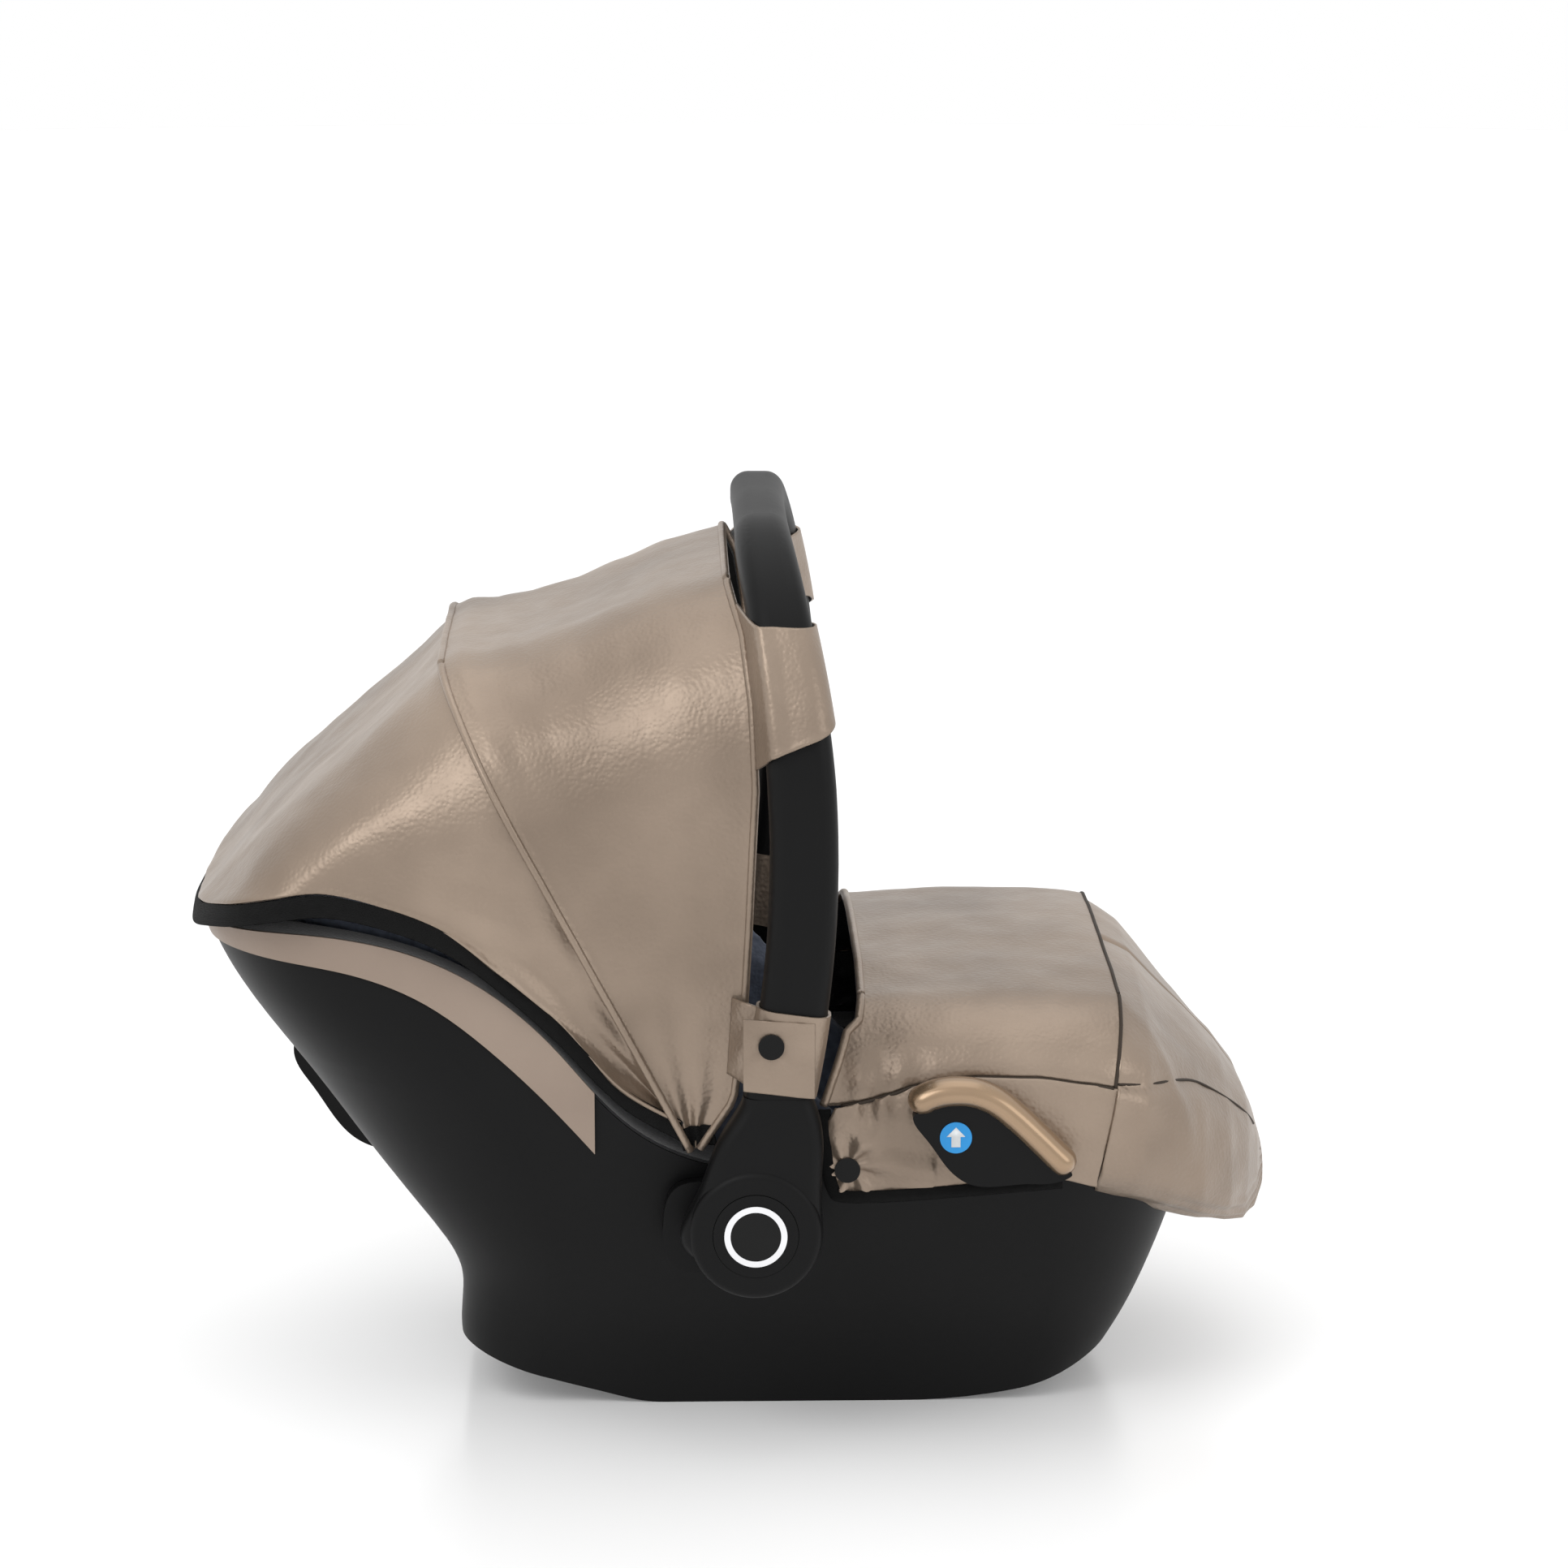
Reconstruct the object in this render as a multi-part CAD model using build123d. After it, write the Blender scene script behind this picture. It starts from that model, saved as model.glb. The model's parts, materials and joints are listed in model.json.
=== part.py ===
from build123d import *
import os
from math import cos, radians, sin, sqrt

os.makedirs("parts", exist_ok=True)

# Infant car seat. Millimetres, +X to the foot end, +Y across, +Z up,
# origin on the floor under the middle of the outline.
# "right" is the -Y side; every paired piece is drawn there and mirrored.

# ------------------------------------------------------------ driving sizes
WALL = 3.0                      # moulded shell wall
FOAM = 8.0                      # energy foam
COVER = 2.0                     # seat cover cloth
BOOT_T = 3.0                    # foot cover, cloth and wadding
HOOD_T = 1.6                    # hood cloth
GAP = 0.3                       # air between neighbours of different bodies

HUB_X, HUB_Z = 12.0, 134.0      # handle axis
HUB_OUT = 222.0                 # outer face of the handle hub
BOSS_R = 38.0
HOUSING_R = 34.0
RUNNING = 0.06                  # radial clearance of the handle on its housing
BUTTON_R = 24.4
BUTTON_TRAVEL = 4.5

HANDLE_Y = 203.0                # leg centre line
HANDLE_TOP = 515.0              # bar centre line
HANDLE_CORNER = 125.0
HANDLE_BOW = 640.0              # radius of the arched side view
HANDLE_BOW_Z = 350.0
HANDLE_BOW_X = 40.0
HANDLE_BASE = 213.0             # where the tube meets the hub

POST_R, POST_TOP = 10.0, 71.6    # posts that carry the foam on the shell floor
BOTTOM = (Align.CENTER, Align.CENTER, Align.MIN)

SEAT_SIDE = 320.0               # half width of every side-view cutter

# height, back, front, half width, corner radius
TUB = [
    (-12, -146, 200, 114, 40),
    (0, -150, 206, 118, 40),
    (40, -162, 231, 130, 50),
    (80, -162, 248, 150, 60),
    (120, -187, 263, 168, 80),
    (160, -219, 276, 178.5, 100),
    (200, -249, 286, 183, 110),
    (245, -284, 290, 180, 110),
    (300, -313, 290, 168, 110),
    (335, -326, 288, 162, 110),
]
BOWL = [
    (72, 20, 102, 78, 34),
    (110, -50, 165, 113, 58),
    (160, -120, 238, 140, 84),
    (200, -180, 254, 148, 96),
    (250, -245, 262, 150, 98),
    (300, -293, 266, 149, 100),
    (345, -318, 266, 146, 100),
]
RIM = [
    (-345, 287), (-300, 291), (-234, 295), (-170, 280), (-105, 235),
    (-60, 187), (-20, 166), (50, 160), (150, 160), (230, 158), (300, 152),
]
RIM_COVER_EDGE = [
    (-345, 280), (-300, 282), (-265, 281), (-221, 277), (-179, 262),
    (-142, 236), (-112, 208), (-80, 172),
]

# hood: arches fanning out from one cross line; angle back from upright, radius,
# half width, corner radius
FAN_X, FAN_Z = -20.0, 166.0
FAN_BASE = 16.0
HOOD_FRONT = [(-5, 330, 185, 100), (3, 321, 185, 98), (13, 308, 185, 96), (28, 314, 185, 96)]
HOOD_REAR = [
    (28.4, 313, 185, 96), (38, 295, 184, 98), (50, 286, 181, 104), (60, 297, 178, 114),
    (66.5, 316, 176, 124), (74, 315, 175, 126),
]
HOOD_EDGE = [
    (-345, 262), (-325, 268), (-313, 286), (-300, 299), (-234, 312), (-202, 306), (-169, 293),
    (-142, 275), (-105, 243), (-77, 212), (-58, 195), (-30, 180), (-12, 174),
]
ELASTIC_WIDTH = 12.0

# foot cover: station, half width, bottom, top, corner radius
BOOT_BACK = 30.0
BOOT_TOE = [
    (222, 186, 40, 258, 74), (250, 171, 80, 231, 68), (275, 149, 94, 208, 54),
    (297, 115, 90, 186, 46), (313, 75, 92, 165, 35), (323.4, 35, 108, 141, 16),
]
BOOT_MOUTH = [(78, 330), (74, 290), (71, 260), (61, 235), (52, 208), (50, 190), (51, 166), (56, 148), (62, 120)]
BOOT_SEAM = [
    (20, 199), (47, 199), (73, 201), (105, 210), (138, 215), (185, 214),
    (218, 210), (250, 203), (285, 191), (330, 174),
]
BOOT_CROSS = [(205, 320), (214, 276), (220, 242), (223, 222), (221, 200), (214, 176), (206, 150), (200, 100)]
BOOT_HEM = [
    (20, 145), (59, 145), (92, 145), (135, 148), (190, 152), (204, 146),
    (214, 133), (226, 125), (240, 121), (262, 112), (290, 96), (312, 76), (335, 60),
]
BINDING = 5.0


# ------------------------------------------------------------ shared helpers
def levels(table, grow, lift=0.0):
    """Loft of rounded rectangles stacked in height, grown sideways by grow."""
    faces = []
    for z, back, front, half, corner in table:
        outline = RectangleRounded(front - back + 2 * grow, 2 * (half + grow), corner + grow)
        faces.append(Pos((back + front) / 2, 0, z + lift) * outline)
    return loft(faces)


def tub(grow):
    return levels(TUB, grow)


def bowl(inset):
    """Seat hollow, made smaller by inset all round and underneath."""
    return levels(BOWL, -inset, 0.8 * inset)


def side_block(outline, y0, y1):
    """Straight-sided outline in X and Z, carried from y0 to y1."""
    corners = [(x, y0, z) for x, z in outline]
    return extrude(Face(Wire.make_polygon(corners, close=True)), y1 - y0, dir=(0, 1, 0))


def curved_block(outline, y0, y1):
    """Closed smooth outline in X and Z, carried from y0 to y1."""
    loop = Spline(*[(x, y0, z) for x, z in outline], periodic=True)
    return extrude(Face(Wire([loop])), y1 - y0, dir=(0, 1, 0))


def side_region(curve, corners, y0=-SEAT_SIDE, y1=SEAT_SIDE):
    """Block bounded in side view by a smooth curve and then by straight lines."""
    smooth = Spline(*[(x, y0, z) for x, z in curve])
    chain = [curve[-1], *corners, curve[0]]
    straight = [
        Line((a[0], y0, a[1]), (b[0], y0, b[1]))
        for a, b in zip(chain[:-1], chain[1:])
    ]
    return extrude(Face(Wire([smooth, *straight])), y1 - y0, dir=(0, 1, 0))


def raised(curve, amount):
    return [(x, z + amount) for x, z in curve]


def below(curve, amount=0.0):
    line = raised(curve, amount)
    return side_region(line, [(line[-1][0], -60), (line[0][0], -60)])


def above(curve, amount=0.0):
    line = raised(curve, amount)
    return side_region(line, [(line[-1][0], 640), (line[0][0], 640)])


def across(radius, y0, y1, x=HUB_X, z=HUB_Z):
    """Cylinder along Y between two distances from the middle."""
    disc = Plane(origin=(x, min(y0, y1), z), x_dir=(1, 0, 0), z_dir=(0, 1, 0)) * Circle(radius)
    return extrude(disc, abs(y1 - y0), dir=(0, 1, 0))


def mirrored(shape):
    return mirror(shape, about=Plane.XZ)


def save(name, shape):
    shape.label = name
    export_step(shape, f"parts/{name}.step")


def save_pair(name, shape):
    save(f"{name}_right", shape)
    save(f"{name}_left", mirrored(shape))


def group(shapes):
    return Compound(children=list(shapes))


# ------------------------------------------------------------ shell
def rocker(lift):
    """Everything under the curved runners, raised by lift."""
    rear = Spline(
        (-300, -SEAT_SIDE, 96 + lift), (-180, -SEAT_SIDE, 42 + lift), (-140, -SEAT_SIDE, 27 + lift),
        (-103, -SEAT_SIDE, 15 + lift), (-72, -SEAT_SIDE, 6 + lift), (-40, -SEAT_SIDE, lift),
        tangents=[(2, 0, -1), (1, 0, 0)],
    )
    flat = Line((-40, -SEAT_SIDE, lift), (100, -SEAT_SIDE, lift))
    front = Spline(
        (100, -SEAT_SIDE, lift), (158, -SEAT_SIDE, 5 + lift), (192, -SEAT_SIDE, 14 + lift),
        (215, -SEAT_SIDE, 25 + lift), (300, -SEAT_SIDE, 90 + lift),
        tangents=[(1, 0, 0), (1, 0, 1)],
    )
    base = Polyline(
        (300, -SEAT_SIDE, 90 + lift), (300, -SEAT_SIDE, -60), (-300, -SEAT_SIDE, -60), (-300, -SEAT_SIDE, 96 + lift)
    )
    outline = Face(Wire([rear, flat, front, *base.edges()]))
    return extrude(outline, 2 * SEAT_SIDE, dir=(0, 1, 0))


def underside_channel(grow):
    """Channel that leaves two runners under the shell."""
    profile = [(-74, -20), (-74, 6), (-62, 16), (62, 16), (74, 6), (74, -20)]
    corners = [(-300, y * (1 + grow / 70), z + (grow if z > 0 else 0)) for y, z in profile]
    return extrude(Face(Wire.make_polygon(corners, close=True)), 600, dir=(1, 0, 0))


def outer_shell():
    outside = (tub(0) & below(RIM)) - rocker(0) - underside_channel(0)
    inside = tub(-WALL) - rocker(WALL) - underside_channel(WALL)
    shell = outside - inside
    for x in (38, 84):
        for y in (-50, 50):
            post = Pos(x, y, 0) * Cylinder(POST_R, POST_TOP - 17, align=BOTTOM)
            shell += Pos(0, 0, 17) * post
    return shell


def foam_liner():
    solid = bowl(0) - bowl(FOAM)
    return solid & below(RIM, -1)


def seat_cover():
    """Padded edge that bridges the foam and the shell rim."""
    return (tub(-0.2) & above(RIM, 0.4) & below(RIM, 0.4 + COVER)) - bowl(0.3)


def rim_cover():
    band = tub(2.4) - tub(GAP)
    return band & below(RIM, 0.4 + COVER) & above(RIM_COVER_EDGE)


# ------------------------------------------------------------ hub, drawn on the right side
def hub_housing():
    disc = across(HOUSING_R, -150, -197.5) - tub(0.4)
    disc -= across(21.5, -179, -200)
    disc -= across(5.0, -150, -185)
    return disc


def adapter_cover():
    outline = [
        (-24, 156), (-36, 150), (-41, 130), (-39, 112), (-32, 104), (-8, 104), (20, 104),
        (38, 114), (42, 134), (36, 152), (10, 160),
    ]
    plate = curved_block(outline, -187, -150) - tub(0.4)
    return plate - across(HOUSING_R + 0.4, -150, -200)


def pivot_pin():
    return across(4.98, -177, -204.2)


def gear_teeth(grow, y0, y1):
    wheel = across(17.5 + grow, y0, y1)
    for step in range(12):
        tooth = Box(4 + 2 * grow, abs(y1 - y0), 6)
        placed = Pos(0, (y0 + y1) / 2, 17.5 + grow) * tooth
        wheel += Pos(HUB_X, 0, HUB_Z) * Rot(0, 30 * step, 0) * placed
    return wheel


def lock_gear():
    return gear_teeth(0, -195.2, -201.8) - across(5.6, -190, -210)


def button_spring():
    coil = Helix(pitch=3.0, height=14.0, radius=9.5)
    start = coil @ 0
    wire = Plane(origin=start, z_dir=coil % 0) * Circle(0.8)
    spring = sweep(wire, path=coil)
    return Pos(HUB_X, -180.2, HUB_Z) * Rot(90, 0, 0) * spring


def hub_button():
    cap = across(BUTTON_R, -212, -HUB_OUT - 0.5)
    cap -= across(18.2, -HUB_OUT + 0.4, -HUB_OUT - 2)
    stem = across(8.0, -201.9, -212.5)
    return cap + stem - across(5.6, -200, -209)


def button_ring():
    ring = across(18.0, -HUB_OUT + 0.4, -HUB_OUT - 1.4) - across(14.5, -HUB_OUT + 2, -HUB_OUT - 3)
    return ring


def button_badge():
    return across(14.3, -HUB_OUT + 0.4, -HUB_OUT - 0.8)


# ------------------------------------------------------------ handle
def bow_x(z):
    return HANDLE_BOW_X - (z - HANDLE_BOW_Z) ** 2 / (2 * HANDLE_BOW)


def leg_station(z):
    return (-HANDLE_Y, z, 0.0, 1.0, 19.5, 13.0)


def bend_station(turn):
    """Centre point (y, z), direction (y, z) and half sizes, part way round the first bend."""
    c, s = cos(radians(turn)), sin(radians(turn))
    y = -HANDLE_Y + HANDLE_CORNER * (1 - c)
    z = HANDLE_TOP - HANDLE_CORNER * (1 - s)
    return (y, z, s, c, 19.5 - 3.5 * turn / 90, 13.0 + turn / 90)


def handle_stations():
    """Stations from one foot of the handle to the other."""
    half = [leg_station(z) for z in (HANDLE_BASE, 257, 301, 345)]
    half += [bend_station(turn) for turn in (0, 22.5, 45, 67.5, 90)]
    half.append((half[-1][0] / 2, HANDLE_TOP + 0.6, 1.0, 0.0, 15.6, 14.0))
    half.append((0.0, HANDLE_TOP + 1.0, 1.0, 0.0, 15.5, 14.0))
    other = [(-y, z, dy, -dz, a, b) for y, z, dy, dz, a, b in reversed(half[:-1])]
    return half + other


def tube_face(station, grow):
    y, z, dy, dz, a, b = station
    slope = 0.0 if z == HANDLE_BASE else -(z - HANDLE_BOW_Z) / HANDLE_BOW * dz
    length = sqrt(slope ** 2 + dy ** 2 + dz ** 2)
    along = Vector(slope, dy, dz) / length
    front = Vector(1, 0, 0) - along * along.X
    where = Plane(origin=(bow_x(z), y, z), x_dir=front, z_dir=along)
    return where * RectangleRounded(2 * (a + grow), 2 * (b + grow), 0.8 * b + grow)


def tube(grow, stations):
    return loft([tube_face(station, grow) for station in stations])


def handle_bar():
    stations = handle_stations()
    ends = [extrude(tube_face(station, -3.0), 6, both=True) for station in (stations[0], stations[-1])]
    runs = [(0, 4), (4, 8), (8, 12), (12, 16), (16, 20)]
    outside = Part() + [tube(0, stations[a:b + 1]) for a, b in runs]
    inside = Part() + [tube(-3.0, stations[a:b + 1]) for a, b in runs]
    return outside - (inside + ends[0] + ends[1])


def handle_end():
    # height, back, front, middle across, thickness
    table = [
        (120, -25, 49, 208.5, 23), (150, -24, 50, 208, 24), (172, -15, 50.5, 207.5, 24.5),
        (192, -6, 50.5, 205.5, 25.5), (206, 3, 47, 203.5, 26), (HANDLE_BASE - 0.1, 5.2, 44.2, HANDLE_Y, 26),
    ]
    faces = []
    for z, back, front, middle, thick in table:
        outline = RectangleRounded(front - back, thick, 9)
        faces.append(Pos((back + front) / 2, -middle, z) * outline)
    neck = loft(faces)
    boss = across(BOSS_R, -193, -HUB_OUT)
    rims = boss.edges().filter_by(GeomType.CIRCLE).sort_by(Axis.Y)
    boss = fillet(rims[0], 5.0)
    body = neck + boss
    body -= across(HOUSING_R + RUNNING, -185, -198)
    body -= gear_teeth(0.25, -190, -206)
    body -= across(BUTTON_R + 0.3, -202, -230)
    spigot = tube(-3.7, [leg_station(z) for z in (HANDLE_BASE - 6, HANDLE_BASE + 5, HANDLE_BASE + 16)])
    return body + spigot


def sleeve(stations, ends, clear, thick):
    """Cloth band round the tube; ends are the two stations just beyond it."""
    over = [ends[0], *stations[1:-1], ends[1]]
    return tube(clear + thick, stations) - tube(clear, over)


# ------------------------------------------------------------ hood
def fan_point(angle, radius, y):
    a = radians(angle)
    return (FAN_X - radius * sin(a), y, FAN_Z + radius * cos(a))


def arch_face(angle, radius, half, base, corner):
    """Flat round-shouldered arch standing on the fan line and leaning back by angle."""
    near = corner * (1 - sqrt(0.5))
    p = [
        (base, -half), (radius - corner, -half), (radius - near, -half + near), (radius, -half + corner),
        (radius, half - corner), (radius - near, half - near), (radius - corner, half), (base, half),
    ]
    q = [fan_point(angle, reach, y) for reach, y in p]
    edges = [
        Line(q[0], q[1]), ThreePointArc(q[1], q[2], q[3]), Line(q[3], q[4]),
        ThreePointArc(q[4], q[5], q[6]), Line(q[6], q[7]), Line(q[7], q[0]),
    ]
    return Face(Wire(edges))


def fan_faces(table, grow, base):
    return [arch_face(a, r + grow, half + grow, base, corner + grow) for a, r, half, corner in table]


def hood_skin(table, grow=0.0, thick=HOOD_T):
    hollow = fan_faces(table, grow - thick, FAN_BASE - 4)
    first, last = radians(table[0][0]), radians(table[-1][0])
    inside = loft(hollow)
    inside += extrude(hollow[0], 5, dir=(cos(first), 0, sin(first)))
    inside += extrude(hollow[-1], 5, dir=(-cos(last), 0, -sin(last)))
    return loft(fan_faces(table, grow, FAN_BASE)) - inside


def hood_edge(amount=0.0):
    return above(HOOD_EDGE, amount)


def canopy_front():
    return hood_skin(HOOD_FRONT)


def canopy_rear():
    return hood_skin(HOOD_REAR) & hood_edge(ELASTIC_WIDTH)


def canopy_elastic():
    band = hood_skin(HOOD_REAR) & hood_edge() & below(HOOD_EDGE, ELASTIC_WIDTH - 0.2)
    return band - (tub(2.9) & below(RIM, COVER + 0.9))


def canopy_bow():
    """Flat springy stay inside the seam between the two hood panels."""
    outside = arch_face(26.0, 306.4, 180.6, FAN_BASE, 93.6)
    inside = arch_face(26.0, 304.2, 178.4, FAN_BASE - 4, 91.4)
    return extrude(outside, 3, both=True) - extrude(inside, 5, both=True)


def canopy_collar():
    stations = [bend_station(turn) for turn in (14, 26, 38)]
    band = sleeve(stations, (bend_station(12), bend_station(40)), 0.35, 1.6)
    return band - side_block([(-10, 400), (-10, 466), (56, 400)], -230, -150)


def canopy_strap():
    stations = [leg_station(z) for z in (217, 240, 263)]
    return sleeve(stations, (leg_station(215), leg_station(265)), 0.35, 1.6)


def strap_snap():
    lower = across(7.4, -HANDLE_Y - 15.2, -HANDLE_Y - 17.4, 21, 245)
    return lower


# ------------------------------------------------------------ foot cover
def boot_face(row, grow):
    x, half, bottom, top, corner = row
    where = Plane(origin=(x, 0, (bottom + top) / 2), x_dir=(0, 1, 0), z_dir=(1, 0, 0))
    return where * RectangleRounded(2 * (half + grow), top - bottom + 2 * grow, corner + grow)


def boot_barrel(grow, thick):
    """Straight part of the cover, open at both ends."""
    outside = extrude(boot_face(BOOT_TOE[0], grow), BOOT_BACK - BOOT_TOE[0][0])
    inside = extrude(boot_face(BOOT_TOE[0], grow - thick), 2 * (BOOT_BACK - BOOT_TOE[0][0]), both=True)
    return outside - inside


def boot_cap(grow):
    """Rounded toe."""
    start, tip = BOOT_TOE[0][0], BOOT_TOE[-1][0]
    rows = [(row[0] + grow * (row[0] - start) / (tip - start), *row[1:]) for row in BOOT_TOE]
    return loft([boot_face(row, grow) for row in rows])


def right_of(curve, amount=0.0):
    """Region on the foot side of an upright curve."""
    line = [(x + amount, z) for x, z in curve]
    return side_region(line, [(400, line[-1][1]), (400, line[0][1])])


def belt_window():
    outline = [
        (99, 204), (107, 217), (123, 222.5), (142, 222.5), (162, 214), (183, 196), (199, 177),
        (203, 165), (192, 156), (168, 154), (130, 155), (119, 166), (105, 184),
    ]
    return curved_block(outline, -230, -150)


def boot_top():
    skin = boot_barrel(0, BOOT_T) & above(BOOT_SEAM, 0.15)
    skin -= belt_window() + mirrored(belt_window())
    return (skin & right_of(BOOT_MOUTH)) - right_of(BOOT_CROSS, -0.15)


def boot_skirt():
    skin = boot_barrel(0, BOOT_T) - above(BOOT_SEAM, -0.15)
    skin -= belt_window() + mirrored(belt_window())
    skin = skin & right_of(BOOT_MOUTH, BINDING) & above(BOOT_HEM, BINDING)
    return skin - right_of(BOOT_CROSS, -0.15)


def boot_binding():
    band = boot_barrel(0.6, BOOT_T + 0.8) & right_of(BOOT_MOUTH) & above(BOOT_HEM)
    band -= right_of(BOOT_MOUTH, BINDING - 0.2) & above(BOOT_HEM, BINDING - 0.2)
    band -= belt_window() + mirrored(belt_window())
    band -= above(BOOT_SEAM, -0.15)
    return band - right_of(BOOT_CROSS, -0.15)


def boot_toe():
    start = BOOT_TOE[0][0]
    hollow = boot_cap(-BOOT_T) + extrude(boot_face(BOOT_TOE[0], -BOOT_T), 60, dir=(-1, 0, 0))
    cap = boot_cap(0) + (boot_barrel(0, BOOT_T) & Pos(start - 15, 0, 200) * Box(30.0, 600, 400))
    skin = (cap - hollow) & right_of(BOOT_CROSS, 0.15) & above(BOOT_HEM)
    return skin - (tub(0.6) & below(RIM, 4))


def boot_snap():
    return across(7.4, -186.2, -188.6, 65.5, 163)


# ------------------------------------------------------------ belt guides
def belt_guide_face(y0, y1):
    outline = [
        (104, 201), (112, 205), (124, 207), (139, 206), (153, 198), (168, 184), (184, 170),
        (194, 164), (188, 160.5), (168, 159), (133, 160), (123, 168), (110, 186),
    ]
    return curved_block(outline, y0, y1)


def belt_guide():
    plate = belt_guide_face(-205, -196)
    stem = side_block([(136, 159.8), (186, 160.8), (184, 168), (136, 168)], -197, -182)
    foot = side_block([(134, 150), (188, 153), (184, 168), (134, 168)], -182.5, -160) - tub(0.4)
    return plate + stem + foot


def belt_guide_trim():
    outline = [
        (102, 203), (109, 214), (123, 219), (141, 219), (160, 211), (179, 194), (195, 175),
        (199.5, 166), (196, 164), (185, 171), (169, 185), (154, 199), (139, 207.4), (124, 208.4),
        (112, 206), (105, 201.5),
    ]
    return curved_block(outline, -208, -190) - belt_guide_face(-215, -180)


def belt_marker():
    return across(9.2, -205.1, -205.7, 127, 187)


def rear_belt_guide():
    """Loop on the back of the shell that keeps the car belt in place."""
    outer = [
        (-252, 214), (-259, 211), (-261, 204), (-250, 181), (-239, 164), (-227, 150), (-214, 143),
        (-203, 142), (-194, 148), (-190, 160), (-205, 182), (-228, 208),
    ]
    slot = [(-250, 205), (-255, 203), (-244, 180), (-233, 164), (-222, 154), (-212, 150), (-204, 156), (-205, 180)]
    loop = curved_block(outer, -62, 62) - curved_block(slot, -50, 50)
    return loop - tub(0.4)


# ------------------------------------------------------------ seat furniture
def body_insert():
    blanket = bowl(FOAM + 1) - bowl(22)
    top = [(-150, 305), (-100, 288), (-40, 262), (16, 240), (50, 200), (86, 166), (130, 150)]
    return blanket & below(top) & Pos(-10, 0, 200) * Box(230, 268, 400)


def head_insert():
    blanket = bowl(FOAM + 1) - bowl(30)
    top = [(-345, 300), (-290, 306), (-220, 308), (-170, 300), (-120, 285)]
    return blanket & below(top) & Pos(-212, 0, 250) * Box(168, 272, 200)


def strap_piece(stations, width, thick):
    """Webbing through stations of (x, y, z, lean)."""
    faces = []
    for x, y, z, lean in stations:
        a = radians(lean)
        where = Plane(origin=(x, y, z), x_dir=(0, 1, 0), z_dir=(cos(a), 0, -sin(a)))
        faces.append(where * RectangleRounded(width, thick, thick * 0.45))
    return loft(faces)


HARNESS = [
    (-122, -44, 222.5, 34), (-90, -43, 202, 35), (-60, -38, 183, 34), (-30, -28, 166, 31), (-4.5, -18, 153.8, 28)
]


def harness_strap():
    return strap_piece(HARNESS, 36, 1.6)


def shoulder_pad():
    stations = [(x, y, z + 5.6, lean) for x, y, z, lean in HARNESS[:3]]
    return strap_piece(stations, 52, 7.5)


def lap_strap():
    stations = [(8, -96, 150), (20, -66, 143), (26, -38, 139)]
    faces = []
    for x, y, z in stations:
        where = Plane(origin=(x, y, z), x_dir=(1, 0, 0.2), z_dir=(0.3, 1, -0.4))
        faces.append(where * RectangleRounded(34, 1.6, 0.7))
    return loft(faces)


def on_buckle(x, y, z):
    """Place in the buckle's own tilted frame."""
    return Pos(44, 0, 126) * Rot(0, 28, 0) * Pos(x, y, z)


def soft_box(length, width, thick, radius):
    return fillet(Box(length, width, thick).edges(), radius)


def buckle_body():
    return on_buckle(0, 0, 0) * soft_box(56, 62, 16, 4) - on_buckle(8, 0, 4) * Box(18.6, 24.6, 14)


def buckle_button():
    return on_buckle(8, 0, 5.5) * Box(18, 24, 7)


def buckle_tongue():
    return on_buckle(-40.5, -18, 2) * Box(24, 18, 3)


def crotch_strap():
    stations = [(66, 0, 99.5, 60), (64, 0, 103, 50), (61, 0, 107, 40)]
    return strap_piece(stations, 30, 1.6)


def crotch_pad():
    return Pos(98, 0, 122) * Rot(0, -4, 0) * soft_box(45, 46, 9, 3.5)


def adjuster_housing():
    frame = soft_box(40, 46, 8, 2.5) - Pos(4, 0, 2.2) * Box(22.6, 28.6, 10)
    return Pos(144, 0, 128) * Rot(0, -34, 0) * frame


def adjuster_button():
    return Pos(144, 0, 128) * Rot(0, -34, 0) * Pos(4, 0, 1.5) * Box(22, 28, 5)


# ------------------------------------------------------------ build
save("outer_shell", outer_shell())
save("foam_liner", foam_liner())
save("seat_cover", seat_cover())
save("rim_cover", rim_cover())
save("rear_belt_guide", rear_belt_guide())

save_pair("hub_housing", hub_housing())
save_pair("adapter_cover", adapter_cover())
save_pair("pivot_pin", pivot_pin())
save_pair("lock_gear", lock_gear())
save_pair("button_spring", button_spring())
save_pair("hub_button", hub_button())
save_pair("button_ring", button_ring())
save_pair("button_badge", button_badge())

save("handle_bar", handle_bar())
save_pair("handle_end", handle_end())
save_pair("canopy_collar", canopy_collar())
save_pair("canopy_strap", canopy_strap())
save("strap_snaps", group([strap_snap(), mirrored(strap_snap())]))

save("canopy_front", canopy_front())
save("canopy_rear", canopy_rear())
save("canopy_elastic", canopy_elastic())
save("canopy_bow", canopy_bow())

save("boot_top", boot_top())
save("boot_toe", boot_toe())
save("boot_skirt", boot_skirt())
save("boot_binding", boot_binding())
save("boot_snaps", group([boot_snap(), mirrored(boot_snap())]))

save_pair("belt_guide", belt_guide())
save_pair("belt_guide_trim", belt_guide_trim())
save("belt_markers", group([belt_marker(), mirrored(belt_marker())]))

save("body_insert", body_insert())
save("head_insert", head_insert())
save("harness_straps", group([harness_strap(), mirrored(harness_strap())]))
save("lap_straps", group([lap_strap(), mirrored(lap_strap())]))
save("shoulder_pads", group([shoulder_pad(), mirrored(shoulder_pad())]))
save("buckle_body", buckle_body())
save("buckle_button", buckle_button())
save("buckle_tongues", group([buckle_tongue(), mirrored(buckle_tongue())]))
save("crotch_strap", crotch_strap())
save("crotch_pad", crotch_pad())
save("adjuster_housing", adjuster_housing())
save("adjuster_button", adjuster_button())
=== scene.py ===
import json
import math

import bpy
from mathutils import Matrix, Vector, noise


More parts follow.
